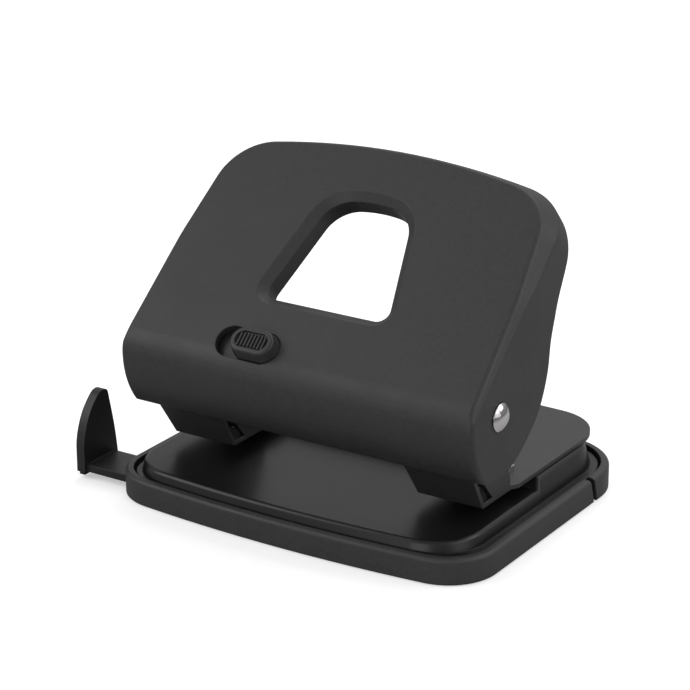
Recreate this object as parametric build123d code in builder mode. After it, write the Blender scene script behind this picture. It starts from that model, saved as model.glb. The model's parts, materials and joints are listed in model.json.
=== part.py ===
# Two-hole desk punch for paper, 80 mm hole spacing.
# Frame: X across the punch (left to right), Y from the paper's side to the rear, Z up.
# Origin: middle of the two punch axes, on the underside of the tray that rests on the desk.
from build123d import *
import math
import os

# ---------------------------------------------------------------- driving dimensions, mm
hole_spacing = 80.0        # centre to centre of the two holes
punch_x = hole_spacing / 2
hole_r = 3.0               # punch radius
margin = 12.0              # hole centre to paper edge
run = 0.05                 # radial running clearance

tray_half = 58.8           # tray half width
tray_x = 0.8               # the tray's middle lies a little to the right of the punches' middle
tray_front = -39.6         # front of the tray on the middle plane
tray_rear = 55.5
tray_h = 7.4
tray_wall = 2.3
tray_floor = 1.6
door_y = 33.0              # split between tray and chip door at the floor

hinge_x = 30.0             # middle of each door hinge, left and right
hinge_y, hinge_z = door_y + 0.3, 1.75
hinge_reach = 39.0         # half length of the hinge bores
lug_offset = 6.4           # hinge lugs to either side of the hinge's middle
lug_xs = [side * hinge_x + shift for side in (-1, 1) for shift in (-lug_offset, lug_offset)]

deck_z = 9.8               # low deck, on which the paper lies
raised_z = 13.0            # raised rear deck
sheet = 1.0                # sheet thickness of the base plate
deck_half_top = 53.4       # half width at the low deck's level
skirt_z = 5.0              # lower edge of the base plate's skirt
skirt_half = 54.8
step_y = margin - 0.6      # foot of the step between the decks

plate_t = 1.3              # frame plate thickness
plate_z = raised_z         # underside of the frame plate
plate_top = plate_z + plate_t
axle_y, axle_z, axle_r = -16.1, 41.4, 2.5

punch_spots = [(-punch_x, 0), (punch_x, 0)]
frame_rivet_spots = [(x, y) for y in (24, 42) for x in (-22, 22)]
frame_rivet_bore = 2.0
bridge_rivet_y = 9.2
bridge_rivet_spots = [(x, y) for x in (-punch_x, punch_x) for y in (-bridge_rivet_y, bridge_rivet_y)]
bridge_rivet_bore = 1.2

pin_bottom, pin_top = 12.7, 34.6
bridge_top = 19.0
bridge_t = 1.5             # sheet thickness of the guide bridges
clip_z = 32.4              # underside of the spring clips
clip_t = 1.0

# lever: its front face is a plane that leans back
face_y, face_z, face_lean = -14.6, 59.6, 48.0
skin = 2.2                 # wall thickness of the moulded shell
core_d, core_t = 4.2, 1.6  # depth of the steel core behind the face, and its thickness

# spots on the lever face: (X, distance up the face)
core_screw_spots = [(-36, 8), (36, 8), (0, 43.5)]
keeper_screw_spots = [(-41.0, -13.2), (7.5, -13.2)]
screw_tip = 1.15           # depth at which all the lever's screws start

UPRIGHT = (Align.CENTER, Align.CENTER, Align.MIN)
os.makedirs("parts", exist_ok=True)

lean_sin, lean_cos = math.sin(math.radians(face_lean)), math.cos(math.radians(face_lean))
face_normal = Axis((0, 0, 0), (0, -lean_cos, lean_sin))


# ---------------------------------------------------------------- helpers
def on_face(up, behind):
    """Side-view point (Y, Z) at a distance up the lever face and behind it."""
    return (face_y + up * lean_sin + behind * lean_cos, face_z + up * lean_cos - behind * lean_sin)


def face_plane(behind=0.0):
    """Plane parallel to the lever face, behind it; local x is X, local y runs up the face."""
    y, z = on_face(0, behind)
    return Plane(origin=(0, y, z), x_dir=(1, 0, 0), z_dir=(0, -lean_cos, lean_sin))


def depth(point):
    """Distance of a point behind the plane of the lever face."""
    return (point.Y - face_y) * lean_cos - (point.Z - face_z) * lean_sin


def dome_mid(radius, height):
    """(radius, height) of a point half way along the arc of a spherical cap."""
    ball = (radius * radius + height * height) / (2 * height)
    half = math.asin(radius / ball) / 2
    return (ball * math.sin(half), height - ball + ball * math.cos(half))


def add_offset(sketch, amount):
    """In the open sketch, add a sketch grown by amount, with sharp corners."""
    add(sketch)
    offset(amount=amount, kind=Kind.INTERSECTION, mode=Mode.REPLACE)


def discs(spots, radius, mode=Mode.ADD):
    """Circles in the open sketch."""
    with Locations(*spots):
        Circle(radius, mode=mode)


def drill(spots, bottom, height, radius):
    """Upright holes through the open part at (X, Y) spots."""
    with Locations(*[(x, y, bottom) for x, y in spots]):
        Cylinder(radius, height, align=UPRIGHT, mode=Mode.SUBTRACT)


def cut_across(points):
    """Cut a (Y, Z) polygon away from the open part over its full width."""
    with BuildSketch(Plane.YZ) as zone:
        with BuildLine():
            Polyline(*points, close=True)
        make_face()
    extrude(zone.sketch, amount=70, both=True, mode=Mode.SUBTRACT)


def bowed_outline(centre_x, half, front, bow, rear, rear_radius, front_radius):
    """Rounded rectangle seen from above, with a front edge that bows forwards."""
    side_front = front + bow
    with BuildSketch(Plane((centre_x, 0, 0))) as outline:
        with BuildLine():
            ThreePointArc((-half, side_front), (0, front), (half, side_front))
            Polyline((half, side_front), (half, rear), (-half, rear), (-half, side_front))
        make_face()
        fillet(outline.vertices().group_by(Axis.Y)[-1], rear_radius)
        fillet(outline.vertices().group_by(Axis.Y)[0], front_radius)
    return outline.sketch


def save(piece, name):
    """Label a piece and write its file."""
    piece.part.label = name
    export_step(piece.part, f"parts/{name}.step")


# ---------------------------------------------------------------- tray
tray_outline = bowed_outline(tray_x, tray_half, front=tray_front, bow=3.9, rear=tray_rear,
                             rear_radius=20.0, front_radius=15.0)


def tray_bowl(ledge_z, ledge_width):
    """Whole tray, hollow down to a ledge inside the wall, and inside the ledge to the floor."""
    with BuildPart() as bowl:
        with BuildSketch(Plane.XY):
            add(tray_outline)
        extrude(amount=tray_h)
        # soft outer top edge and a small chamfer where the tray meets the desk
        fillet(bowl.edges().group_by(Axis.Z)[-1], 1.1)
        chamfer(bowl.edges().group_by(Axis.Z)[0], 0.35)
        with BuildSketch(Plane.XY.offset(ledge_z)):
            add_offset(tray_outline, -tray_wall)
        extrude(amount=tray_h, mode=Mode.SUBTRACT)
        with BuildSketch(Plane.XY.offset(tray_floor)):
            add_offset(tray_outline, -(tray_wall + ledge_width))
        extrude(amount=tray_h, mode=Mode.SUBTRACT)
    return bowl.part


with BuildPart() as base_tray:
    # the ledge carries the base plate's skirt
    add(tray_bowl(skirt_z, 3.4))
    # channel rails for the paper guide's arm
    with Locations((-9, -31.6, tray_floor), (-9, -15.3, tray_floor)):
        Box(84, 1.4, 2.9, align=UPRIGHT)
    # mouth in the left wall through which the arm slides
    with Locations((-54, -23.45, 3.15)):
        Box(17, 13.9, 2.7, mode=Mode.SUBTRACT)
    # rear part is cut away along a slanting slit for the chip door
    cut_across([(door_y - 0.9, -1), (door_y - 3.8, 9), (70, 9), (70, -1)])
    # room for the door's knuckles
    with Locations((-hinge_x, door_y + 0.2, 1.8), (hinge_x, door_y + 0.2, 1.8)):
        Box(10.4, 4.0, 6, mode=Mode.SUBTRACT)
    # hinge lugs on the floor's rear edge
    with Locations(*[(x, door_y - 0.6, hinge_z) for x in lug_xs]):
        Box(2.4, 4.4, 3.3)
    with BuildSketch(Plane.YZ.offset(-hinge_reach)):
        discs([(hinge_y, hinge_z)], 0.78)
    extrude(amount=2 * hinge_reach, mode=Mode.SUBTRACT)
save(base_tray, "base_tray")

# ---------------------------------------------------------------- chip door: rear part of the tray
knuckle_length = 9.8
with BuildPart() as chip_door:
    add(tray_bowl(skirt_z - 0.2, 2.0))
    cut_across([(door_y + 1.1, -1), (door_y - 1.8, 9), (-60, 9), (-60, -1)])
    # thumb catch under the rear edge
    with Locations((0, tray_rear - 0.2, 1.2)):
        Box(26, 2.2, 1.4)
    # notches that clear the tray's hinge lugs
    with Locations(*[(x, door_y, 1.8) for x in lug_xs]):
        Box(3.2, 5.6, 6, mode=Mode.SUBTRACT)
    # the door's own two knuckles
    for x in (-hinge_x, hinge_x):
        with BuildSketch(Plane.YZ.offset(x - knuckle_length / 2)):
            with BuildLine():
                Polyline((hinge_y, 0.35), (door_y + 3.5, 0.35), (door_y + 3.5, 1.6),
                         (hinge_y, 3.1), close=True)
            make_face()
            discs([(hinge_y, hinge_z)], 1.4)
        extrude(amount=knuckle_length)
    with BuildSketch(Plane.YZ.offset(-hinge_reach)):
        discs([(hinge_y, hinge_z)], 0.8)
    extrude(amount=2 * hinge_reach, mode=Mode.SUBTRACT)
save(chip_door, "chip_door")

hinge_pin_end, hinge_pin_length = 37.4, 15
with BuildPart() as door_hinge_pins:
    for x in (-hinge_pin_end, hinge_pin_end - hinge_pin_length):
        with BuildSketch(Plane.YZ.offset(x)):
            discs([(hinge_y, hinge_z)], 0.75)
        extrude(amount=hinge_pin_length)
save(door_hinge_pins, "door_hinge_pins")

# ---------------------------------------------------------------- base plate
# pressed sheet with a low deck and a raised rear deck
flange_z, flange_t, flange_r = 5.15, 1.35, 0.7   # height, thickness and edge radius
draft = (skirt_half - deck_half_top) / (deck_z - skirt_z)
draft_angle = math.degrees(math.atan(draft))
base_outline = bowed_outline(0, skirt_half, front=-37.0, bow=3.5, rear=52.6,
                             rear_radius=18.0, front_radius=16.0)

with BuildPart() as base_inside:
    with BuildSketch(Plane.XY.offset(skirt_z - 1)):
        add_offset(base_outline, -sheet + draft)
    extrude(amount=raised_z - sheet - skirt_z + 1, taper=draft_angle)
    cut_across([(-60, deck_z - sheet), (step_y + 0.45, deck_z - sheet),
                (step_y + 2.75, 20), (-60, 20)])

# flange of the base plate, just inside the tray's wall
with BuildPart() as base_flange:
    with BuildSketch(Plane.XY.offset(flange_z)):
        add_offset(tray_outline, -(tray_wall + 0.45))
    extrude(amount=flange_t)
    fillet(base_flange.edges().group_by(Axis.Z)[-1], flange_r)


def on_deck_rim(edge):
    """True for edges round both decks, but not for the step edges across the middle."""
    middle = edge.center()
    on_step = abs(middle.X) < 1 and edge.length > 80 and 0 < middle.Y < 30
    return middle.Z > deck_z - 0.05 and not on_step


with BuildPart() as base_plate:
    with BuildSketch(Plane.XY.offset(skirt_z)):
        add(base_outline)
    extrude(amount=raised_z - skirt_z, taper=draft_angle)
    cut_across([(-60, deck_z), (step_y - 0.3, deck_z), (step_y + 1.3, raised_z),
                (step_y + 1.3, 20), (-60, 20)])
    # rounded press edges
    fillet(base_plate.edges().filter_by(on_deck_rim), 1.3)
    add(base_flange.part)
    add(base_inside.part, mode=Mode.SUBTRACT)
    # die holes under the punches, then rivet holes of the frame plate
    drill(punch_spots, 6, 8, hole_r + 0.1)
    drill(frame_rivet_spots, 8, 8, frame_rivet_bore)
save(base_plate, "base_plate")

die_z = 6.4                # underside of the die bushes
with BuildPart() as die_bushes:
    with BuildSketch(Plane.XY.offset(die_z)):
        discs(punch_spots, 5.2)
        discs(punch_spots, hole_r + 0.06, mode=Mode.SUBTRACT)
    extrude(amount=deck_z - sheet - die_z)
    lower_circles = die_bushes.edges().filter_by(GeomType.CIRCLE).group_by(Axis.Z)[0]
    chamfer(lower_circles.group_by(SortBy.RADIUS)[-1], 0.5)
save(die_bushes, "die_bushes")

# ---------------------------------------------------------------- frame plate
# steel plate with two lips and four ears
plate_half = 51.2
plate_rear = 56.6
plate_side_rear = plate_rear - 1.0
lip_y = -14.5              # front face of the lips at their foot
lip_lean = math.radians(32.0)   # lean of the lips from upright
lip_rise = 1.4             # height of the lip plane's origin above the plate's underside
lip_foot = lip_rise / math.cos(lip_lean)
lip_foot_y = lip_y + lip_rise * math.tan(lip_lean)
lip_plane = Plane(origin=(0, lip_y, plate_z + lip_rise), x_dir=(1, 0, 0),
                  z_dir=(0, -math.cos(lip_lean), -math.sin(lip_lean)))
ear_in, ear_out, ear_t = 30.2, 50.0, 1.8

with BuildPart() as frame_plate:
    with BuildSketch(Plane.XY.offset(plate_z)) as plate_outline:
        with BuildLine():
            ThreePointArc((plate_half, plate_side_rear), (0, plate_rear),
                          (-plate_half, plate_side_rear))
            Polyline((-plate_half, plate_side_rear), (-plate_half, 3.6), (-ear_out, 1.6),
                     (-ear_out, lip_foot_y), (-ear_in, lip_foot_y), (-ear_in, step_y + 2.2),
                     (ear_in, step_y + 2.2), (ear_in, lip_foot_y), (ear_out, lip_foot_y),
                     (ear_out, 1.6), (plate_half, 3.6), (plate_half, plate_side_rear))
        make_face()
        fillet(plate_outline.vertices().group_by(Axis.Y)[-1], 15.5)
    extrude(amount=plate_t)
    # lips lean towards the paper's side and lead the sheets in
    with BuildSketch(lip_plane):
        with BuildLine():
            Polyline((ear_in, -lip_foot), (ear_out, -lip_foot), (ear_out + 1.0, 12.6),
                     (ear_out + 0.4, 13.2), (ear_in - 0.2, 13.2), (ear_in - 0.8, 12.6),
                     close=True)
        make_face()
        mirror(about=Plane.YZ)
    extrude(amount=-plate_t)
    # ears that carry the axle
    for ear_x in (-ear_out, -ear_in - ear_t, ear_in, ear_out - ear_t):
        with BuildSketch(Plane.YZ.offset(ear_x)):
            with BuildLine():
                Polyline((-7.6, plate_z + 0.6), (1.4, plate_z + 0.6), (1.0, 17.0), (-4.6, 29.0),
                         (-9.9, 39.2), (-16.1, 40.0), (-22.5, 39.2), (-20.0, 27.0),
                         (-13.4, 20.4), close=True)
            make_face()
            discs([(axle_y, axle_z)], 6.6)
        extrude(amount=ear_t)
    with BuildSketch(Plane.YZ.offset(-55)):
        discs([(axle_y, axle_z)], axle_r + 0.02)
    extrude(amount=110, mode=Mode.SUBTRACT)
    drill(punch_spots, 10, 6, hole_r + run)
    drill(frame_rivet_spots, 10, 6, frame_rivet_bore)
    drill(bridge_rivet_spots, 10, 6, bridge_rivet_bore)
    # bend radius under each lip
    bend = frame_plate.edges().filter_by(Axis.X).filter_by(
        lambda e: e.center().Z < plate_z + 0.1 and e.center().Y < lip_y + 2 and e.length > 15)
    fillet(bend, 0.9)
save(frame_plate, "frame_plate")

# domed rivets that join the frame plate to the base plate
rivet_foot_z, rivet_foot_r, rivet_shank_r = raised_z - sheet - 1.0, 3.2, 1.97
rivet_head_r, rivet_head_h = 3.4, 1.4
head_mid = dome_mid(rivet_head_r, rivet_head_h)
with BuildPart() as frame_rivets:
    with BuildSketch(Plane.XZ) as rivet_half:
        with BuildLine():
            Polyline((0, rivet_foot_z), (rivet_foot_r, rivet_foot_z),
                     (rivet_foot_r, raised_z - sheet), (rivet_shank_r, raised_z - sheet),
                     (rivet_shank_r, plate_top), (rivet_head_r, plate_top))
            ThreePointArc((rivet_head_r, plate_top), (head_mid[0], plate_top + head_mid[1]),
                          (0, plate_top + rivet_head_h))
            Line((0, plate_top + rivet_head_h), (0, rivet_foot_z))
        make_face()
    rivet = revolve(rivet_half.sketch, axis=Axis.Z, mode=Mode.PRIVATE)
    with Locations(*frame_rivet_spots):
        add(rivet)
save(frame_rivets, "frame_rivets")

# ---------------------------------------------------------------- punch units
bridge_width = 11.0        # along X
bridge_half = 6.9          # half length of the raised part, along Y
bridge_foot = 11.3         # half length over the feet
bridge_in = bridge_half - bridge_t
foot_top = plate_top + bridge_t
groove_bottom, groove_top, groove_r = clip_z - 0.03, clip_z + 1.05, 2.4
spring_height = clip_z - bridge_top - 1.0

for side, x in (("left", -punch_x), ("right", punch_x)):
    # hat-shaped bridge that guides the punch above the frame plate
    with BuildPart() as guide_bridge:
        with BuildSketch(Plane.YZ.offset(x - bridge_width / 2)):
            with BuildLine():
                Polyline((-bridge_foot, plate_top), (-bridge_in, plate_top),
                         (-bridge_in, bridge_top - bridge_t), (bridge_in, bridge_top - bridge_t),
                         (bridge_in, plate_top), (bridge_foot, plate_top),
                         (bridge_foot, foot_top), (bridge_half, foot_top),
                         (bridge_half, bridge_top), (-bridge_half, bridge_top),
                         (-bridge_half, foot_top), (-bridge_foot, foot_top), close=True)
            make_face()
        extrude(amount=bridge_width)
        fillet(guide_bridge.edges().filter_by(Axis.X).group_by(Axis.Z)[-1], 1.0)
        drill([(x, 0)], bridge_top - 6, 6, hole_r + run)
        drill([(x, -bridge_rivet_y), (x, bridge_rivet_y)], plate_top - 3, 6, bridge_rivet_bore)
    save(guide_bridge, "guide_bridge_" + side)

    # hardened punch: hollow-ground cutting edge, clip groove, flat top for the cam
    with BuildPart() as punch_pin:
        with BuildSketch(Plane.XZ) as pin_half:
            with BuildLine():
                Polyline((0, pin_bottom + 1.2), (hole_r, pin_bottom), (hole_r, groove_bottom),
                         (groove_r, groove_bottom), (groove_r, groove_top),
                         (hole_r, groove_top), (hole_r, pin_top - 0.4),
                         (hole_r - 0.4, pin_top), (0, pin_top), close=True)
            make_face()
        turned = revolve(pin_half.sketch, axis=Axis.Z, mode=Mode.PRIVATE)
        with Locations((x, 0, 0)):
            add(turned)
    save(punch_pin, "punch_pin_" + side)

    # retaining clip in the punch's groove, open towards the rear
    with BuildPart() as spring_clip:
        with BuildSketch(Plane.XY.offset(clip_z)):
            with Locations((x, 0)):
                Circle(5.1)
                Circle(groove_r + 0.02, mode=Mode.SUBTRACT)
            with Locations((x, 4.0)):
                Rectangle(3.4, 5.0, mode=Mode.SUBTRACT)
        extrude(amount=clip_t)
    save(spring_clip, "spring_clip_" + side)

    # return spring between the bridge and the clip
    with BuildPart() as return_spring:
        with BuildLine(Plane(origin=(x, 0, bridge_top + 0.5))) as coil:
            Helix(pitch=spring_height / 5.5, height=spring_height, radius=4.15)
        with BuildSketch(Plane(origin=coil.edge() @ 0, z_dir=coil.edge() % 0)):
            Circle(0.42)
        sweep(path=coil.edge(), is_frenet=True)
    save(return_spring, "return_spring_" + side)

# small domed rivets through the bridges' feet
small_foot_z, small_shank_r = plate_z + 0.1, 1.18
small_head_r, small_head_h = 2.2, 1.0
small_mid = dome_mid(small_head_r, small_head_h)
with BuildPart() as bridge_rivets:
    with BuildSketch(Plane.XZ) as small_half:
        with BuildLine():
            Polyline((0, small_foot_z), (small_shank_r, small_foot_z),
                     (small_shank_r, foot_top), (small_head_r, foot_top))
            ThreePointArc((small_head_r, foot_top), (small_mid[0], foot_top + small_mid[1]),
                          (0, foot_top + small_head_h))
            Line((0, foot_top + small_head_h), (0, small_foot_z))
        make_face()
    small_rivet = revolve(small_half.sketch, axis=Axis.Z, mode=Mode.PRIVATE)
    with Locations(*bridge_rivet_spots):
        add(small_rivet)
save(bridge_rivets, "bridge_rivets")

# ---------------------------------------------------------------- axle and its push-on cap
# half profiles: local x is X, local y the distance from the axle's centre line
axle_base = Plane(origin=(0, axle_y, axle_z), x_dir=(1, 0, 0), z_dir=(0, 0, 1))
axle_line = Axis((0, axle_y, axle_z), (1, 0, 0))
dome_r, dome_x, dome_h = 3.95, 56.25, 2.0
rim_x = dome_x + 0.35      # end of the head's straight rim
axle_end = -57.4
axle_mid = dome_mid(dome_r, dome_h - 0.35)
with BuildPart() as pivot_axle:
    with BuildSketch(axle_base):
        with BuildLine():
            Polyline((axle_end, 0), (axle_end, axle_r - 0.3), (axle_end + 0.3, axle_r),
                     (dome_x, axle_r), (dome_x, dome_r), (rim_x, dome_r))
            ThreePointArc((rim_x, dome_r), (rim_x + axle_mid[1], axle_mid[0]),
                          (dome_x + dome_h, 0))
            Line((dome_x + dome_h, 0), (axle_end, 0))
        make_face()
    revolve(axis=axle_line)
save(pivot_axle, "pivot_axle")

cap_floor = axle_end - 0.05
cap_bore_r = axle_r + 0.02
cap_tip = -dome_x - dome_h - 0.2
cap_mid = dome_mid(dome_r, dome_h - 0.15)
with BuildPart() as axle_cap:
    with BuildSketch(axle_base):
        with BuildLine():
            Polyline((cap_floor, 0), (cap_floor, cap_bore_r), (-dome_x, cap_bore_r),
                     (-dome_x, dome_r), (-rim_x, dome_r))
            ThreePointArc((-rim_x, dome_r), (-rim_x - cap_mid[1], cap_mid[0]), (cap_tip, 0))
            Line((cap_tip, 0), (cap_floor, 0))
        make_face()
    revolve(axis=axle_line)
save(axle_cap, "axle_cap")

# ---------------------------------------------------------------- lever shell
# moulded cover with a hand window
# side view (Y, Z) of the outer skin: skirt, rounded nose, start of the flat face
skirt_foot = (-25.2, 26.0)
nose = (-30.3, 41.2)
face_start_up = -17.0
face_start = on_face(face_start_up, 0)
# rear edge (Y, Z) of the side walls, from the top down to the skirt
wall_rear = [
    on_face(56.0, 12.6), (25.2, 76.4), (21.2, 70.0), (16.6, 63.4), (13.7, 57.5), (12.0, 52.5),
    (11.0, 47.0), (9.2, 41.9), (6.3, 36.8), (1.1, 31.6), (-4.3, 27.9), (-9.7, 25.3),
    (-15.0, 24.0), (-19.2, 23.8), (-22.4, 24.5), skirt_foot,
]
bevel_angle = math.degrees(math.atan(0.5))   # the face outline grows 0.5 mm per mm of depth


def lever_outline(corner, crown, shoulder, flank, corner_radius):
    """Lever outline seen square to its face, from right-hand points (X, distance up)."""
    foot = -54.0
    right = [corner, shoulder, flank, (flank[0], foot)]
    left = [(-x, y) for x, y in reversed(right)]
    with BuildSketch(face_plane()) as outline:
        with BuildLine():
            ThreePointArc(left[-1], (0, crown), corner)
            Polyline(*right, *left)
        make_face()
        for half, radius in ((corner[0], corner_radius), (shoulder[0], 80.0), (flank[0], 80.0)):
            fillet(outline.vertices().filter_by(
                lambda v: abs(abs(v.X) - half) < 0.1 and v.Y > -30), radius)
    return outline.sketch_local


wall_outline = lever_outline((53.0, 49.0), 54.0, (55.2, 21.0), (56.2, -16.0), 17.0)
face_outline = lever_outline((50.3, 45.4), 51.6, (53.8, 14.0), (55.1, -16.0), 16.0)

with BuildPart() as lever_solid:
    with BuildSketch(Plane.YZ):
        with BuildLine():
            TangentArc(nose, skirt_foot, tangent=(0, -1))
            TangentArc(nose, face_start, tangent=(0, 1))
            Line(face_start, on_face(56.0, 0))
            Line(on_face(56.0, 0), wall_rear[0])
            Spline(wall_rear)
        make_face()
    extrude(amount=60, both=True)
    with BuildSketch(face_plane(-2)):
        add(wall_outline)
    extrude(amount=-95, mode=Mode.INTERSECT)
with BuildPart() as bevel_prism:
    with BuildSketch(face_plane()):
        add(face_outline)
    extrude(amount=-60, taper=-bevel_angle)

# inner skin, one wall thickness inside the outer one
inner_nose = (nose[0] + skin, nose[1])
inner_start = on_face(face_start_up, skin)
skirt_sweep = 2 * math.atan2(skirt_foot[0] - nose[0], nose[1] - skirt_foot[1])
inner_foot = (skirt_foot[0] + skin * math.cos(skirt_sweep),
              skirt_foot[1] + skin * math.sin(skirt_sweep))
with BuildPart() as lever_cavity:
    with BuildSketch(Plane.YZ):
        with BuildLine():
            TangentArc(inner_nose, inner_foot, tangent=(0, -1))
            TangentArc(inner_nose, inner_start, tangent=(0, 1))
            Polyline(inner_start, on_face(80, skin), (120, 60), (60, 0),
                     (inner_foot[0] - 0.4, 0), inner_foot)
        make_face()
    extrude(amount=60, both=True)
    with BuildSketch(face_plane(skin - 1)):
        add_offset(wall_outline, -skin)
    extrude(amount=-110, mode=Mode.INTERSECT)
with BuildPart() as inner_prism:
    with BuildSketch(face_plane(skin - 0.5)):
        add_offset(face_outline, -1.15)
    extrude(amount=-80, taper=-bevel_angle)

window_x = -0.4            # middle of the hand window
window_top, window_top_half = 33.2, 13.0
window_bottom, window_bottom_half = 0.9, 20.1
with BuildSketch(face_plane()) as window_sketch:
    with BuildLine():
        top_left = (window_x - window_top_half, window_top)
        top_right = (window_x + window_top_half, window_top)
        ThreePointArc(top_left, (window_x, 35.3), top_right)
        Polyline(top_right, (window_x + window_bottom_half, window_bottom),
                 (window_x - window_bottom_half, window_bottom), top_left)
    make_face()
    fillet(window_sketch.vertices().filter_by(lambda v: v.Y < 5), 3.4)
    fillet(window_sketch.vertices().filter_by(lambda v: v.Y > 30), 10.0)
window_outline = window_sketch.sketch_local

# slot of the lock slider: middle in X and up the face, length, width
slot_x, slot_up, slot_length, slot_width = -16.6, -14.6, 20.2, 9.4


def on_face_rim(edge):
    """True for edges in the plane of the face, but not its border with the nose."""
    in_face = all(abs(depth(edge @ place)) < 0.01 for place in (0, 0.5, 1))
    return edge.length > 1.2 and in_face and abs(edge.position_at(0.5).Z - face_start[1]) > 0.5


with BuildPart() as lever_shell:
    add(lever_solid.part)
    add(bevel_prism.part, mode=Mode.INTERSECT)
    # soft creases: sloping border to side walls first, then face to sloping border
    outer_crease = lever_shell.edges().filter_by(GeomType.BSPLINE).filter_by(
        lambda e: e.length > 0.5 and 1.5 < depth(e @ 0) < 6 and 1.5 < depth(e @ 1) < 6)
    fillet(outer_crease, 1.5)
    fillet(lever_shell.edges().filter_by(on_face_rim), 1.5)
    add(lever_cavity.part & inner_prism.part, mode=Mode.SUBTRACT)
    # collar round the hand window
    with BuildSketch(face_plane(1.0)):
        add_offset(window_outline, 1.8)
    extrude(amount=-6.2)
    with BuildSketch(face_plane(-2)):
        add(window_outline)
    extrude(amount=-20, mode=Mode.SUBTRACT)
    # dished edge of the window
    with BuildSketch(face_plane(-0.6)):
        add_offset(window_outline, 3.3)
    extrude(amount=-2.6, taper=52, mode=Mode.SUBTRACT)
    with BuildSketch(face_plane(-2)):
        with Locations((slot_x, slot_up)):
            SlotOverall(slot_length, slot_width)
    extrude(amount=-8, mode=Mode.SUBTRACT)
    # axle holes through both walls
    with BuildSketch(Plane.YZ.offset(-60)):
        discs([(axle_y, axle_z)], axle_r + 0.1)
    extrude(amount=120, mode=Mode.SUBTRACT)
    # bosses for the core screws and the keeper screws: radius, depth of the boss's end
    for spots, boss_r, boss_end in ((core_screw_spots, 3.0, 4.15),
                                    (keeper_screw_spots, 2.3, 4.25)):
        with BuildSketch(face_plane(skin - 0.2)):
            discs(spots, boss_r)
        extrude(amount=-(boss_end - skin + 0.2))
    with BuildSketch(face_plane(1.0)):
        discs(core_screw_spots, 1.45)
        discs(keeper_screw_spots, 0.95)
    extrude(amount=-5, mode=Mode.SUBTRACT)
save(lever_shell, "lever_shell")

# ---------------------------------------------------------------- lever core
# steel pressing with arms and cams
cam_base_r = -axle_y       # base circle of the involute, from the axle to the punch axis
cam_start = (axle_z - pin_top - 0.03) / cam_base_r
cam_first, cam_last, cam_steps = -cam_start * 0.98, 0.56, 12
cam_t = 3.2


def cam_point(angle):
    """Side-view point of the cam flank whose tangent point on the base circle lies at angle."""
    tangent = cam_base_r * (cam_start + angle)
    return (axle_y + cam_base_r * math.cos(angle) + tangent * math.sin(angle),
            axle_z + cam_base_r * math.sin(angle) - tangent * math.cos(angle))


cam_line = [cam_point(cam_first + i * (cam_last - cam_first) / cam_steps)
            for i in range(cam_steps + 1)]
cam_end = cam_line[-1]

with BuildPart() as lever_core:
    # web behind the face, with its own window
    with BuildSketch(face_plane(core_d)) as core_web:
        with BuildLine():
            Polyline((-52.4, -6), (52.4, -6), (51.6, 10), (48.2, 34), (40, 45.2), (-40, 45.2),
                     (-48.2, 34), (-51.6, 10), close=True)
        make_face()
        fillet(core_web.vertices().group_by(Axis.Z)[-1], 5)
    extrude(amount=-core_t)
    with BuildSketch(face_plane(core_d - 1)):
        add_offset(window_outline, 3.0)
    extrude(amount=-5, mode=Mode.SUBTRACT)
    # side arms down to the axle
    for arm_x in (-52.5, 52.5 - core_t):
        with BuildSketch(Plane.YZ.offset(arm_x)):
            with BuildLine():
                Polyline(on_face(-6, core_d + 0.8), on_face(6, core_d + 0.8), (0.5, 55.5),
                         (-9.7, 39.5), (-16, 38), (-22.4, 40.5), close=True)
            make_face()
            discs([(axle_y, axle_z)], 6.8)
        extrude(amount=core_t)
    # cam tabs over the punches
    for tab_x in (-punch_x, punch_x):
        with BuildSketch(Plane.YZ.offset(tab_x - cam_t / 2)):
            with BuildLine():
                Spline(cam_line)
                Polyline(cam_end, (cam_end[0] + 1.6, cam_end[1] + 1.6), (5.5, 50),
                         on_face(6, core_d + 1.0), on_face(-5.6, core_d + 1.0), (-21.0, 44.5),
                         (-19.5, 37.0), (-14.0, 35.6), cam_line[0])
            make_face()
            discs([(axle_y, axle_z)], 6.4)
        extrude(amount=cam_t)
    with BuildSketch(Plane.YZ.offset(-60)):
        discs([(axle_y, axle_z)], axle_r + run)
    extrude(amount=120, mode=Mode.SUBTRACT)
    with BuildSketch(face_plane(core_d - 1)):
        discs(core_screw_spots, 1.6)
    extrude(amount=-5, mode=Mode.SUBTRACT)
save(lever_core, "lever_core")

# cross-slotted screws that hold the core to the shell
core_back = core_d + core_t
with BuildPart() as lever_screws:
    with BuildSketch(face_plane(screw_tip)):
        discs(core_screw_spots, 1.4)
    extrude(amount=-(core_back - screw_tip))
    with BuildSketch(face_plane(core_back)):
        discs(core_screw_spots, 2.8)
    extrude(amount=-1.7)
    # round the three heads' rear edges
    fillet(lever_screws.edges().filter_by(GeomType.CIRCLE).sort_by(face_normal)[0:3], 0.8)
    with BuildSketch(face_plane(core_back + 0.7)):
        with Locations(*core_screw_spots):
            Rectangle(3.6, 0.7)
            Rectangle(0.7, 3.6)
    extrude(amount=-3, mode=Mode.SUBTRACT)
save(lever_screws, "lever_screws")

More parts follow.
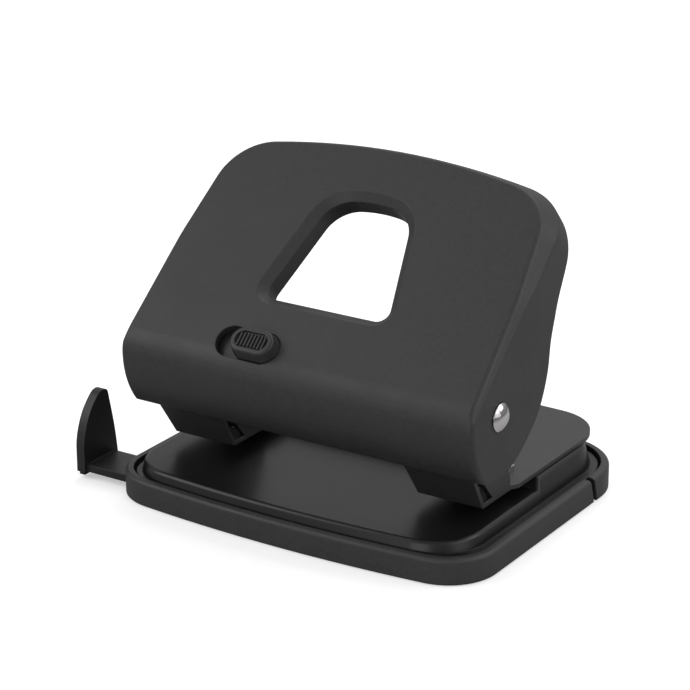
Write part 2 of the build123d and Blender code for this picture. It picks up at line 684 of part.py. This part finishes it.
# ---------------------------------------------------------------- lock slider
# in the face's slot, at its right-hand stop
button_length, button_width = 14.5, 8.9
button_x = slot_x + slot_length / 2 - button_length / 2 - 0.1
with BuildPart() as lock_slider:
    # plate behind the face
    with BuildSketch(face_plane(2.75)):
        with Locations((button_x - 2.2, slot_up + 0.75)):
            Rectangle(31, 9.9)
    extrude(amount=-1.2)
    # button: straight neck in the slot, tapered above the face
    with BuildSketch(face_plane(2.9)):
        with Locations((button_x, slot_up)):
            SlotOverall(button_length, button_width)
    extrude(amount=2.9)
    with BuildSketch(face_plane(0)):
        with Locations((button_x, slot_up)):
            SlotOverall(button_length, button_width)
    extrude(amount=3.3, taper=13)
    fillet(lock_slider.faces().sort_by(face_normal)[-1].edges(), 0.8)
    # grip pad: shallow recess with ribs
    with BuildSketch(face_plane(-2.55)):
        with Locations((button_x, slot_up)):
            SlotOverall(10.2, 5.0)
    extrude(amount=2, mode=Mode.SUBTRACT)
    with BuildSketch(face_plane(-2.5)):
        with Locations((button_x, slot_up)):
            with GridLocations(1.1, 1, 8, 1):
                Rectangle(0.5, 4.0)
    extrude(amount=0.65)
save(lock_slider, "lock_slider")

# strip behind the slider, and its two screws
keeper_d, keeper_t = 4.3, 0.8
keeper_back = keeper_d + keeper_t
(keeper_left, keeper_up), (keeper_right, _) = keeper_screw_spots
with BuildPart() as lock_keeper:
    with BuildSketch(face_plane(keeper_d)):
        with Locations(((keeper_left + keeper_right) / 2, keeper_up)):
            RectangleRounded(54, 7.0, 2.5)
        discs(keeper_screw_spots, 1.1, mode=Mode.SUBTRACT)
    extrude(amount=-keeper_t)
save(lock_keeper, "lock_keeper")

with BuildPart() as keeper_screws:
    with BuildSketch(face_plane(screw_tip)):
        discs(keeper_screw_spots, 0.92)
    extrude(amount=-(keeper_back - screw_tip))
    with BuildSketch(face_plane(keeper_back)):
        discs(keeper_screw_spots, 1.9)
    extrude(amount=-0.9)
save(keeper_screws, "keeper_screws")

# ---------------------------------------------------------------- paper guide
# flat arm with an upright stop at its left end
guide_x = -69.8            # inner face of the stop
guide_z = 2.0              # underside of the arm and the stop
stop_t = 2.8
stop_front, stop_rear = (-31.0, guide_z), (-15.6, guide_z)
shoulder, rear_shoulder = (-24.4, 22.9), (-19.2, 22.6)
rising, falling = (0.66, 0.62), (0.22, -1)   # directions of the edge at the two shoulders
with BuildPart() as paper_guide:
    with Locations((guide_x - stop_t / 2, -23.6, guide_z)):
        Box(106.5 + stop_t / 2, 12.8, 2.2, align=(Align.MIN, Align.CENTER, Align.MIN))
    with BuildSketch(Plane.YZ.offset(guide_x - stop_t)):
        with BuildLine():
            Line(stop_front, (-31.0, 9.0))
            Spline((-31.0, 9.0), (-29.9, 14.8), (-27.6, 19.4), shoulder,
                   tangents=[(0, 1), rising])
            Spline(shoulder, (-21.4, 24.2), rear_shoulder, tangents=[rising, falling])
            Spline(rear_shoulder, (-17.5, 15.0), (-16.2, 7.5), stop_rear,
                   tangents=[falling, (0.08, -1)])
            Line(stop_rear, stop_front)
        make_face()
    extrude(amount=stop_t)
    # small block under the stop
    with Locations((guide_x - 1.9, -28.2, 0.7)):
        Box(1.8, 3.4, 1.4, align=UPRIGHT)
save(paper_guide, "paper_guide")
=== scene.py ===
"""Two-hole paper punch, built from its CAD pieces.

It stands on the floor at z = 0 with Z up. The front faces -Y and the two punches slide along Z.
Here the pieces get their materials, the two return springs become wire coils, and a white
studio with a camera is set up. Lengths are in metres.
"""
import json
import math
from functools import cached_property

import bmesh
import bpy
from mathutils import Matrix, Vector


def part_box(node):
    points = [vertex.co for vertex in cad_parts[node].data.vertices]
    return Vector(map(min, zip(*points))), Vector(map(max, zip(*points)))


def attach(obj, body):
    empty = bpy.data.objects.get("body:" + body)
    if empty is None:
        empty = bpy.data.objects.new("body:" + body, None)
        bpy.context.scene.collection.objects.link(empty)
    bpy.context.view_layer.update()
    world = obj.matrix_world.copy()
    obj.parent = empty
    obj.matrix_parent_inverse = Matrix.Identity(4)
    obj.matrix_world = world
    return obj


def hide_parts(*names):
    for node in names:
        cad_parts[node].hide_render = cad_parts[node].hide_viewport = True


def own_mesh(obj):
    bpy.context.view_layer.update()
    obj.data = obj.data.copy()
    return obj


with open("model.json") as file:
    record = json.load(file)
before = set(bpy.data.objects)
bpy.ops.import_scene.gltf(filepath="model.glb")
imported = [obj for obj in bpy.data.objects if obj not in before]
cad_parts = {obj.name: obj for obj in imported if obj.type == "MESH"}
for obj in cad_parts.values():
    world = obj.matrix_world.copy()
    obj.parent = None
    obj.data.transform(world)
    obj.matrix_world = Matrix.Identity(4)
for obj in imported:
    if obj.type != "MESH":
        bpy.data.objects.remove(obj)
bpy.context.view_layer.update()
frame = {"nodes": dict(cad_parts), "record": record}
scene = bpy.context.scene


def add_object(name, data):
    added = bpy.data.objects.new(name, data)
    scene.collection.objects.link(added)
    return added


# ---------------------------------------------------------------- node helpers
class Nodes:
    """The cleared node tree of a material or world, with short calls for the nodes used here."""

    def __init__(self, owner, output_kind="ShaderNodeOutputMaterial"):
        owner.use_nodes = True
        self.owner = owner
        self.tree = owner.node_tree
        self.tree.nodes.clear()
        self.output = self.node(output_kind)

    @cached_property
    def coord(self):
        return self.node("ShaderNodeTexCoord").outputs["Object"]

    def feed(self, socket, value):
        """Link a socket, or set a plain value."""
        if isinstance(value, bpy.types.NodeSocket):
            self.tree.links.new(value, socket)
        else:
            socket.default_value = value

    def node(self, kind, *ordered, settings=None, **named):
        """Add a node, feeding its first inputs in order and others by name (_ for a space)."""
        added = self.tree.nodes.new(kind)
        for key, value in (settings or {}).items():
            setattr(added, key, value)
        for i, value in enumerate(ordered):
            self.feed(added.inputs[i], value)
        for key, value in named.items():
            self.feed(added.inputs[key.replace("_", " ")], value)
        return added

    def noise(self, scale, detail=3.0, rough=0.5, distortion=0.0, stretch=None):
        """Noise in object space; a small stretch factor draws it out along that axis."""
        vector = self.coord
        if stretch:
            vector = self.node("ShaderNodeMapping", Vector=vector, Scale=stretch).outputs["Vector"]
        return self.node("ShaderNodeTexNoise", Vector=vector, Scale=scale, Detail=detail,
                         Roughness=rough, Distortion=distortion).outputs["Fac"]

    def voronoi(self, scale):
        return self.node("ShaderNodeTexVoronoi", Vector=self.coord, Scale=scale).outputs["Distance"]

    def remap(self, value, lo, hi, to=(0.0, 1.0)):
        """Map lo..hi to the range `to`, clamped."""
        return self.node("ShaderNodeMapRange", value, lo, hi, *to,
                         settings={"clamp": True}).outputs[0]

    def math(self, operation, a, b):
        return self.node("ShaderNodeMath", a, b, settings={"operation": operation}).outputs[0]

    def times(self, a, b):
        return self.math("MULTIPLY", a, b)

    def plus(self, a, b):
        return self.math("ADD", a, b)

    def mix(self, factor, first, second):
        added = self.node("ShaderNodeMix", factor, settings={"data_type": "RGBA"})
        # inputs 6 and 7 are the colours A and B
        self.feed(added.inputs[6], first)
        self.feed(added.inputs[7], second)
        return added.outputs[2]

    def tint(self, base, mask, amount, colour):
        """Lay a colour over the base where the mask is high, at most by `amount`."""
        return self.mix(self.times(mask, amount), base, colour)

    def surface_normal(self):
        return self.node("ShaderNodeNewGeometry").outputs["Normal"]

    def rounded(self, radius):
        """Normal with the edges rounded off."""
        return self.node("ShaderNodeBevel", settings={"samples": 6}, Radius=radius).outputs["Normal"]

    def edge_mask(self, rounded):
        """0..1: how far the rounded normal leans away from the flat one."""
        cosine = self.node("ShaderNodeVectorMath", rounded, self.surface_normal(),
                           settings={"operation": "DOT_PRODUCT"}).outputs["Value"]
        return self.remap(cosine, lo=0.98, hi=0.72)

    def bump(self, height, distance, strength, normal):
        return self.node("ShaderNodeBump", Strength=strength, Distance=distance,
                         Height=height, Normal=normal).outputs["Normal"]

    def principled(self, **inputs):
        return self.node("ShaderNodeBsdfPrincipled", **inputs).outputs[0]

    def camera_switch(self, hidden, seen):
        """`seen` for camera rays, `hidden` for all others."""
        is_camera = self.node("ShaderNodeLightPath").outputs["Is Camera Ray"]
        return self.node("ShaderNodeMixShader", is_camera, hidden, seen).outputs[0]

    def finish(self, shader):
        self.feed(self.output.inputs["Surface"], shader)
        return self.owner


def material_nodes(name):
    return Nodes(bpy.data.materials.new(name))


def grey(value, warm=0.0):
    """Grey, slightly weak in green; `warm` shifts it from blue to red."""
    return (value * (1 + warm), value * 0.98, value * (1 - warm + 0.02), 1.0)


# ---------------------------------------------------------------- materials
# tone: base grey value; rough: mean roughness; edge_radius: rounding seen on the edges
def moulded(name, tone, rough, grain_scale, grain_depth, edge_radius, edge_lightening=0.35):
    """Moulded plastic with a fine spark-eroded grain, cloudy gloss and lighter, slightly glossier
    edges.
    """
    t = material_nodes(name)
    normal = t.rounded(edge_radius)
    edges = t.edge_mask(normal)
    cloud = t.remap(t.noise(28.0, detail=4.0, rough=0.6), lo=0.3, hi=0.7)
    fleck = t.remap(t.noise(grain_scale * 0.55, detail=2.0, rough=0.65), lo=0.35, hi=0.75)
    mottle = t.remap(t.noise(720.0, detail=4.0, rough=0.7), lo=0.34, hi=0.66)
    base = t.mix(cloud, grey(tone * 0.9), grey(tone * 1.1))
    base = t.tint(base, fleck, amount=0.35, colour=grey(tone * 1.5))
    base = t.tint(base, mottle, amount=0.55, colour=grey(tone * 1.7))
    # edges lightened towards a paler grey, by up to the given amount
    base = t.tint(base, edges, amount=edge_lightening, colour=grey(tone * 2.1))

    gloss = t.remap(t.noise(45.0, detail=5.0, rough=0.65), lo=0.3, hi=0.7,
                    to=(rough - 0.05, rough + 0.06))
    gloss = t.plus(gloss, t.times(mottle, 0.07))
    gloss = t.math("SUBTRACT", gloss, t.times(edges, 0.10))

    swell = t.noise(90.0, detail=2.0)
    grain = t.plus(t.times(t.voronoi(grain_scale), 0.7), t.noise(grain_scale * 1.9, rough=0.6))
    normal = t.bump(swell, distance=0.00006, strength=0.35, normal=normal)
    normal = t.bump(grain, distance=grain_depth, strength=0.8, normal=normal)
    return t.finish(t.principled(Base_Color=base, Roughness=gloss, IOR=1.47, Normal=normal))


def enamel(name, tone, rough, coat, peel_depth):
    """Stoved enamel: even colour, faint orange peel, a clear top layer and fine scuffs."""
    t = material_nodes(name)
    normal = t.rounded(0.0003)
    edges = t.edge_mask(normal)
    cloud = t.remap(t.noise(60.0, detail=4.0, rough=0.6), lo=0.35, hi=0.65)
    base = t.mix(cloud, grey(tone * 0.9), grey(tone * 1.12))
    base = t.tint(base, edges, amount=0.25, colour=grey(tone * 2.2 + 0.01))

    hair = t.noise(240.0, detail=6.0, rough=0.75, distortion=0.4, stretch=(1.0, 0.12, 1.0))
    scuffs = t.remap(hair, lo=0.62, hi=0.74)
    gloss = t.remap(t.noise(34.0, detail=5.0, rough=0.6), lo=0.3, hi=0.7,
                    to=(rough * 0.85, rough * 1.2))
    gloss = t.plus(gloss, t.times(scuffs, rough * 0.5))

    normal = t.bump(t.noise(620.0, detail=2.0), distance=peel_depth, strength=0.6, normal=normal)
    return t.finish(t.principled(Base_Color=base, Roughness=gloss, IOR=1.38, Coat_Weight=coat,
                                 Coat_Roughness=0.26, Normal=normal))


def lacquered(name, tone, rough):
    """Thin satin lacquer through which the rolled steel still shows."""
    t = material_nodes(name)
    normal = t.rounded(0.0003)
    edges = t.edge_mask(normal)
    rolling = t.noise(900.0, detail=4.0, rough=0.7, stretch=(0.06, 1.0, 1.0))
    base = t.mix(t.remap(rolling, lo=0.3, hi=0.7), grey(tone * 0.9), grey(tone * 1.12))
    base = t.tint(base, edges, amount=0.45, colour=grey(tone * 2.6))
    gloss = t.remap(t.noise(40.0, detail=5.0, rough=0.6), lo=0.3, hi=0.7,
                    to=(rough - 0.05, rough + 0.07))
    normal = t.bump(t.noise(1500.0, rough=0.6), distance=0.00001, strength=0.5, normal=normal)
    return t.finish(t.principled(Base_Color=base, Metallic=0.55, Roughness=gloss, IOR=1.5,
                                 Normal=normal))


def steel(name, tone, rough, stretch):
    """Plated or ground steel: streaks along the working direction, stains and bright edges."""
    t = material_nodes(name)
    normal = t.rounded(0.0002)
    edges = t.edge_mask(normal)
    streak = t.noise(1400.0, detail=5.0, rough=0.7, stretch=stretch)
    stain = t.remap(t.noise(120.0, detail=5.0, rough=0.65), lo=0.55, hi=0.8, to=(0.0, 0.5))
    base = t.mix(t.remap(streak, lo=0.3, hi=0.7), grey(tone * 0.86, warm=0.01), grey(tone * 1.08))
    base = t.mix(stain, base, grey(tone * 0.7, warm=0.04))
    base = t.tint(base, edges, amount=0.3, colour=grey(tone * 1.4))
    gloss = t.remap(streak, lo=0.3, hi=0.7, to=(rough - 0.06, rough + 0.1))
    normal = t.bump(streak, distance=0.000008, strength=0.6, normal=normal)
    return t.finish(t.principled(Base_Color=base, Metallic=1.0, Roughness=gloss, Normal=normal))


def chrome(name):
    """Hazy chrome with fine turning marks and a dark band standing in for a reflection."""
    t = material_nodes(name)
    haze = t.noise(300.0, detail=6.0, rough=0.7)
    base = t.mix(t.remap(haze, lo=0.4, hi=0.75), grey(0.80, warm=0.01), grey(0.70, warm=0.02))
    # the band lies where the normal leans moderately upwards and to the front
    axes = t.node("ShaderNodeSeparateXYZ", t.surface_normal()).outputs
    lean = t.plus(axes["Z"], t.times(axes["Y"], -0.35))
    band = t.times(t.remap(lean, lo=0.16, hi=0.34), t.remap(lean, lo=0.52, hi=0.70, to=(1.0, 0.0)))
    base = t.tint(base, band, amount=0.85, colour=grey(0.22, warm=0.02))
    gloss = t.remap(haze, lo=0.35, hi=0.75, to=(0.10, 0.20))
    turning = t.noise(2600.0, rough=0.6, stretch=(1.0, 0.3, 0.3))
    normal = t.bump(turning, distance=0.000004, strength=0.5, normal=t.rounded(0.00025))
    return t.finish(t.principled(Base_Color=base, Metallic=1.0, Roughness=gloss, Normal=normal))


RECIPES = {
    "lever_plastic": (moulded, dict(tone=0.019, rough=0.46, grain_scale=2100.0,
                                    grain_depth=0.000024, edge_radius=0.0005)),
    "tray_plastic": (moulded, dict(tone=0.024, rough=0.46, grain_scale=2600.0,
                                   grain_depth=0.000016, edge_radius=0.0004)),
    "guide_plastic": (moulded, dict(tone=0.006, rough=0.42, grain_scale=3200.0,
                                    grain_depth=0.000006, edge_radius=0.0003, edge_lightening=0.5)),
    "slider_plastic": (moulded, dict(tone=0.014, rough=0.38, grain_scale=3000.0,
                                     grain_depth=0.000006, edge_radius=0.0003, edge_lightening=0.5)),
    "gloss_base": (enamel, dict(tone=0.006, rough=0.32, coat=0.14, peel_depth=0.000006)),
    "satin_frame": (lacquered, dict(tone=0.055, rough=0.36)),
    "chrome_axle": (chrome, {}),
    "zinc_steel": (steel, dict(tone=0.50, rough=0.34, stretch=(0.08, 1.0, 1.0))),
    "zinc_fasteners": (steel, dict(tone=0.55, rough=0.30, stretch=(1.0, 1.0, 0.2))),
    "tool_steel": (steel, dict(tone=0.48, rough=0.24, stretch=(0.25, 0.25, 1.6))),
    "spring_steel": (steel, dict(tone=0.40, rough=0.30, stretch=(1.0, 1.0, 0.5))),
}
MATERIALS = {name: recipe(name, **values) for name, (recipe, values) in RECIPES.items()}

slots = {part["node"]: part["material_slot"] for part in frame["record"]["subparts"]}
for name, piece in frame["nodes"].items():
    piece.data.materials.clear()
    piece.data.materials.append(MATERIALS[slots[name]])


# ---------------------------------------------------------------- return springs
WIRE_RADIUS = 0.00045
CLOSED_PITCH = 2 * WIRE_RADIUS  # touching turns
OPEN_TURNS = 6.0
END_TURNS = 0.9  # closed turns at each end
TOTAL_TURNS = OPEN_TURNS + 2 * END_TURNS
WIRE_SIDES = 12
STEPS_PER_TURN = 40


def coil_height(turn, length):
    """Height of the wire's centre above its start: closed end, open middle, closed end."""
    if turn < END_TURNS:
        return turn * CLOSED_PITCH
    if turn > TOTAL_TURNS - END_TURNS:
        return length - (TOTAL_TURNS - turn) * CLOSED_PITCH
    open_pitch = (length - 2 * END_TURNS * CLOSED_PITCH) / OPEN_TURNS
    return END_TURNS * CLOSED_PITCH + (turn - END_TURNS) * open_pitch


def coil_path(lo, hi, centre_x, centre_y):
    """Centre line of the wire, filling the box lo..hi."""
    radius = (hi.x - lo.x) / 2 - WIRE_RADIUS
    foot = lo.z + WIRE_RADIUS
    length = hi.z - WIRE_RADIUS - foot
    steps = int(TOTAL_TURNS * STEPS_PER_TURN)
    points = []
    for i in range(steps + 1):
        turn = TOTAL_TURNS * i / steps
        angle = math.tau * turn + math.pi / 2
        points.append(Vector((centre_x + radius * math.cos(angle),
                              centre_y + radius * math.sin(angle),
                              foot + coil_height(turn, length))))
    return points


def coil(name, node):
    """Wire coil in place of a CAD spring, filling that spring's box."""
    lo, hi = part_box(node)
    centre_x, centre_y = (lo.x + hi.x) / 2, (lo.y + hi.y) / 2
    points = coil_path(lo, hi, centre_x, centre_y)

    bm = bmesh.new()
    rings = []
    for i, point in enumerate(points):
        tangent = (points[min(i + 1, len(points) - 1)] - points[max(i - 1, 0)]).normalized()
        outward = Vector((point.x - centre_x, point.y - centre_y, 0)).normalized()
        side = tangent.cross(outward).normalized()
        outward = side.cross(tangent).normalized()
        ring = []
        for k in range(WIRE_SIDES):
            angle = math.tau * k / WIRE_SIDES
            offset = math.cos(angle) * outward + math.sin(angle) * side
            ring.append(bm.verts.new(point + WIRE_RADIUS * offset))
        rings.append(ring)
    for ring, following in zip(rings, rings[1:]):
        for k in range(WIRE_SIDES):
            after = (k + 1) % WIRE_SIDES
            bm.faces.new((ring[k], ring[after], following[after], following[k]))
    bm.faces.new(rings[0][::-1])
    bm.faces.new(rings[-1])
    bmesh.ops.recalc_face_normals(bm, faces=bm.faces)
    mesh = bpy.data.meshes.new(name)
    bm.to_mesh(mesh)
    bm.free()
    # smooth round the wire, flat on its two cut ends
    for face in mesh.polygons:
        face.use_smooth = len(face.vertices) == 4

    spring = add_object(name, mesh)
    mesh.materials.append(MATERIALS["spring_steel"])
    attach(spring, "base")
    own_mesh(spring)
    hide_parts(node)


for hand in ("left", "right"):
    coil(f"coil_{hand}", f"return_spring_{hand}")


# ---------------------------------------------------------------- floor and world
def floor_paper():
    """White paper with a glow for the camera, darker grey for every other ray."""
    t = material_nodes("floor_paper")
    paper = t.principled(Base_Color=(0.80, 0.80, 0.80, 1.0), Roughness=0.9)
    glow = t.node("ShaderNodeEmission", Strength=0.42).outputs[0]
    seen = t.node("ShaderNodeAddShader", paper, glow).outputs[0]
    hidden = t.node("ShaderNodeBsdfDiffuse", Color=(0.42, 0.42, 0.42, 1.0)).outputs[0]
    return t.finish(t.camera_switch(hidden, seen))


bm = bmesh.new()
bmesh.ops.create_grid(bm, x_segments=2, y_segments=2, size=5.0)
floor_mesh = bpy.data.meshes.new("floor")
bm.to_mesh(floor_mesh)
bm.free()
floor = add_object("floor", floor_mesh)
floor.location = (0, 0, -0.00015)  # just under the base
floor_mesh.materials.append(floor_paper())


def background(nodes, strength):
    return nodes.node("ShaderNodeBackground", Color=(1, 1, 1, 1), Strength=strength).outputs[0]


# pure white to the camera, weaker as a light
scene.world = bpy.data.worlds.new("studio")
sky = Nodes(scene.world, "ShaderNodeOutputWorld")
sky.finish(sky.camera_switch(hidden=background(sky, 0.52), seen=background(sky, 1.0)))

# ---------------------------------------------------------------- lights
LIGHT_TARGET = Vector((0, 0, 0.045))
SOFTBOXES = (  # name, place, width, height, power in watts
    ("key", (-0.46, -0.36, 0.42), 0.42, 0.42, 1.35),
    ("fill", (0.8, -0.1, 0.30), 0.5, 0.5, 1.25),
    ("rim", (0.50, 0.30, 0.42), 0.34, 0.34, 1.0),
    ("top", (-0.1, 0.50, 0.84), 0.9, 0.6, 2.7),
    ("front", (0.05, -0.95, 0.16), 0.6, 0.3, 1.4),
)
for name, place, width, height, power in SOFTBOXES:
    light = bpy.data.lights.new(name, "AREA")
    light.shape = "RECTANGLE"
    light.size, light.size_y = width, height
    light.energy = power
    lamp = add_object(name, light)
    lamp.location = place
    lamp.rotation_mode = "QUATERNION"
    lamp.rotation_quaternion = (Vector(place) - LIGHT_TARGET).to_track_quat("Z", "Y")

# ---------------------------------------------------------------- camera
CAMERA_PLACE = (0.364427, -0.563287, 0.297762)
azimuth = math.radians(32.983)  # from the front (-Y) towards +X
elevation = math.radians(20.646)
roll = math.radians(-0.212)

camera = bpy.data.cameras.new("camera")
camera.sensor_width = 36.0
camera.lens = 136.80
camera.shift_x = -0.00344
camera.shift_y = -0.0002
camera.clip_start, camera.clip_end = 0.01, 20.0
scene.camera = add_object("camera", camera)

back = Vector((math.sin(azimuth) * math.cos(elevation),
               -math.cos(azimuth) * math.cos(elevation),
               math.sin(elevation)))
level_right = Vector((math.cos(azimuth), math.sin(azimuth), 0))
level_up = back.cross(level_right)
right = math.cos(roll) * level_right + math.sin(roll) * level_up
up = -math.sin(roll) * level_right + math.cos(roll) * level_up
rows = [row for row in zip(right, up, back, CAMERA_PLACE)]
scene.camera.matrix_world = Matrix((*rows, (0, 0, 0, 1)))

scene.view_settings.view_transform = "Standard"
scene.view_settings.look = "None"
scene.render.film_transparent = False
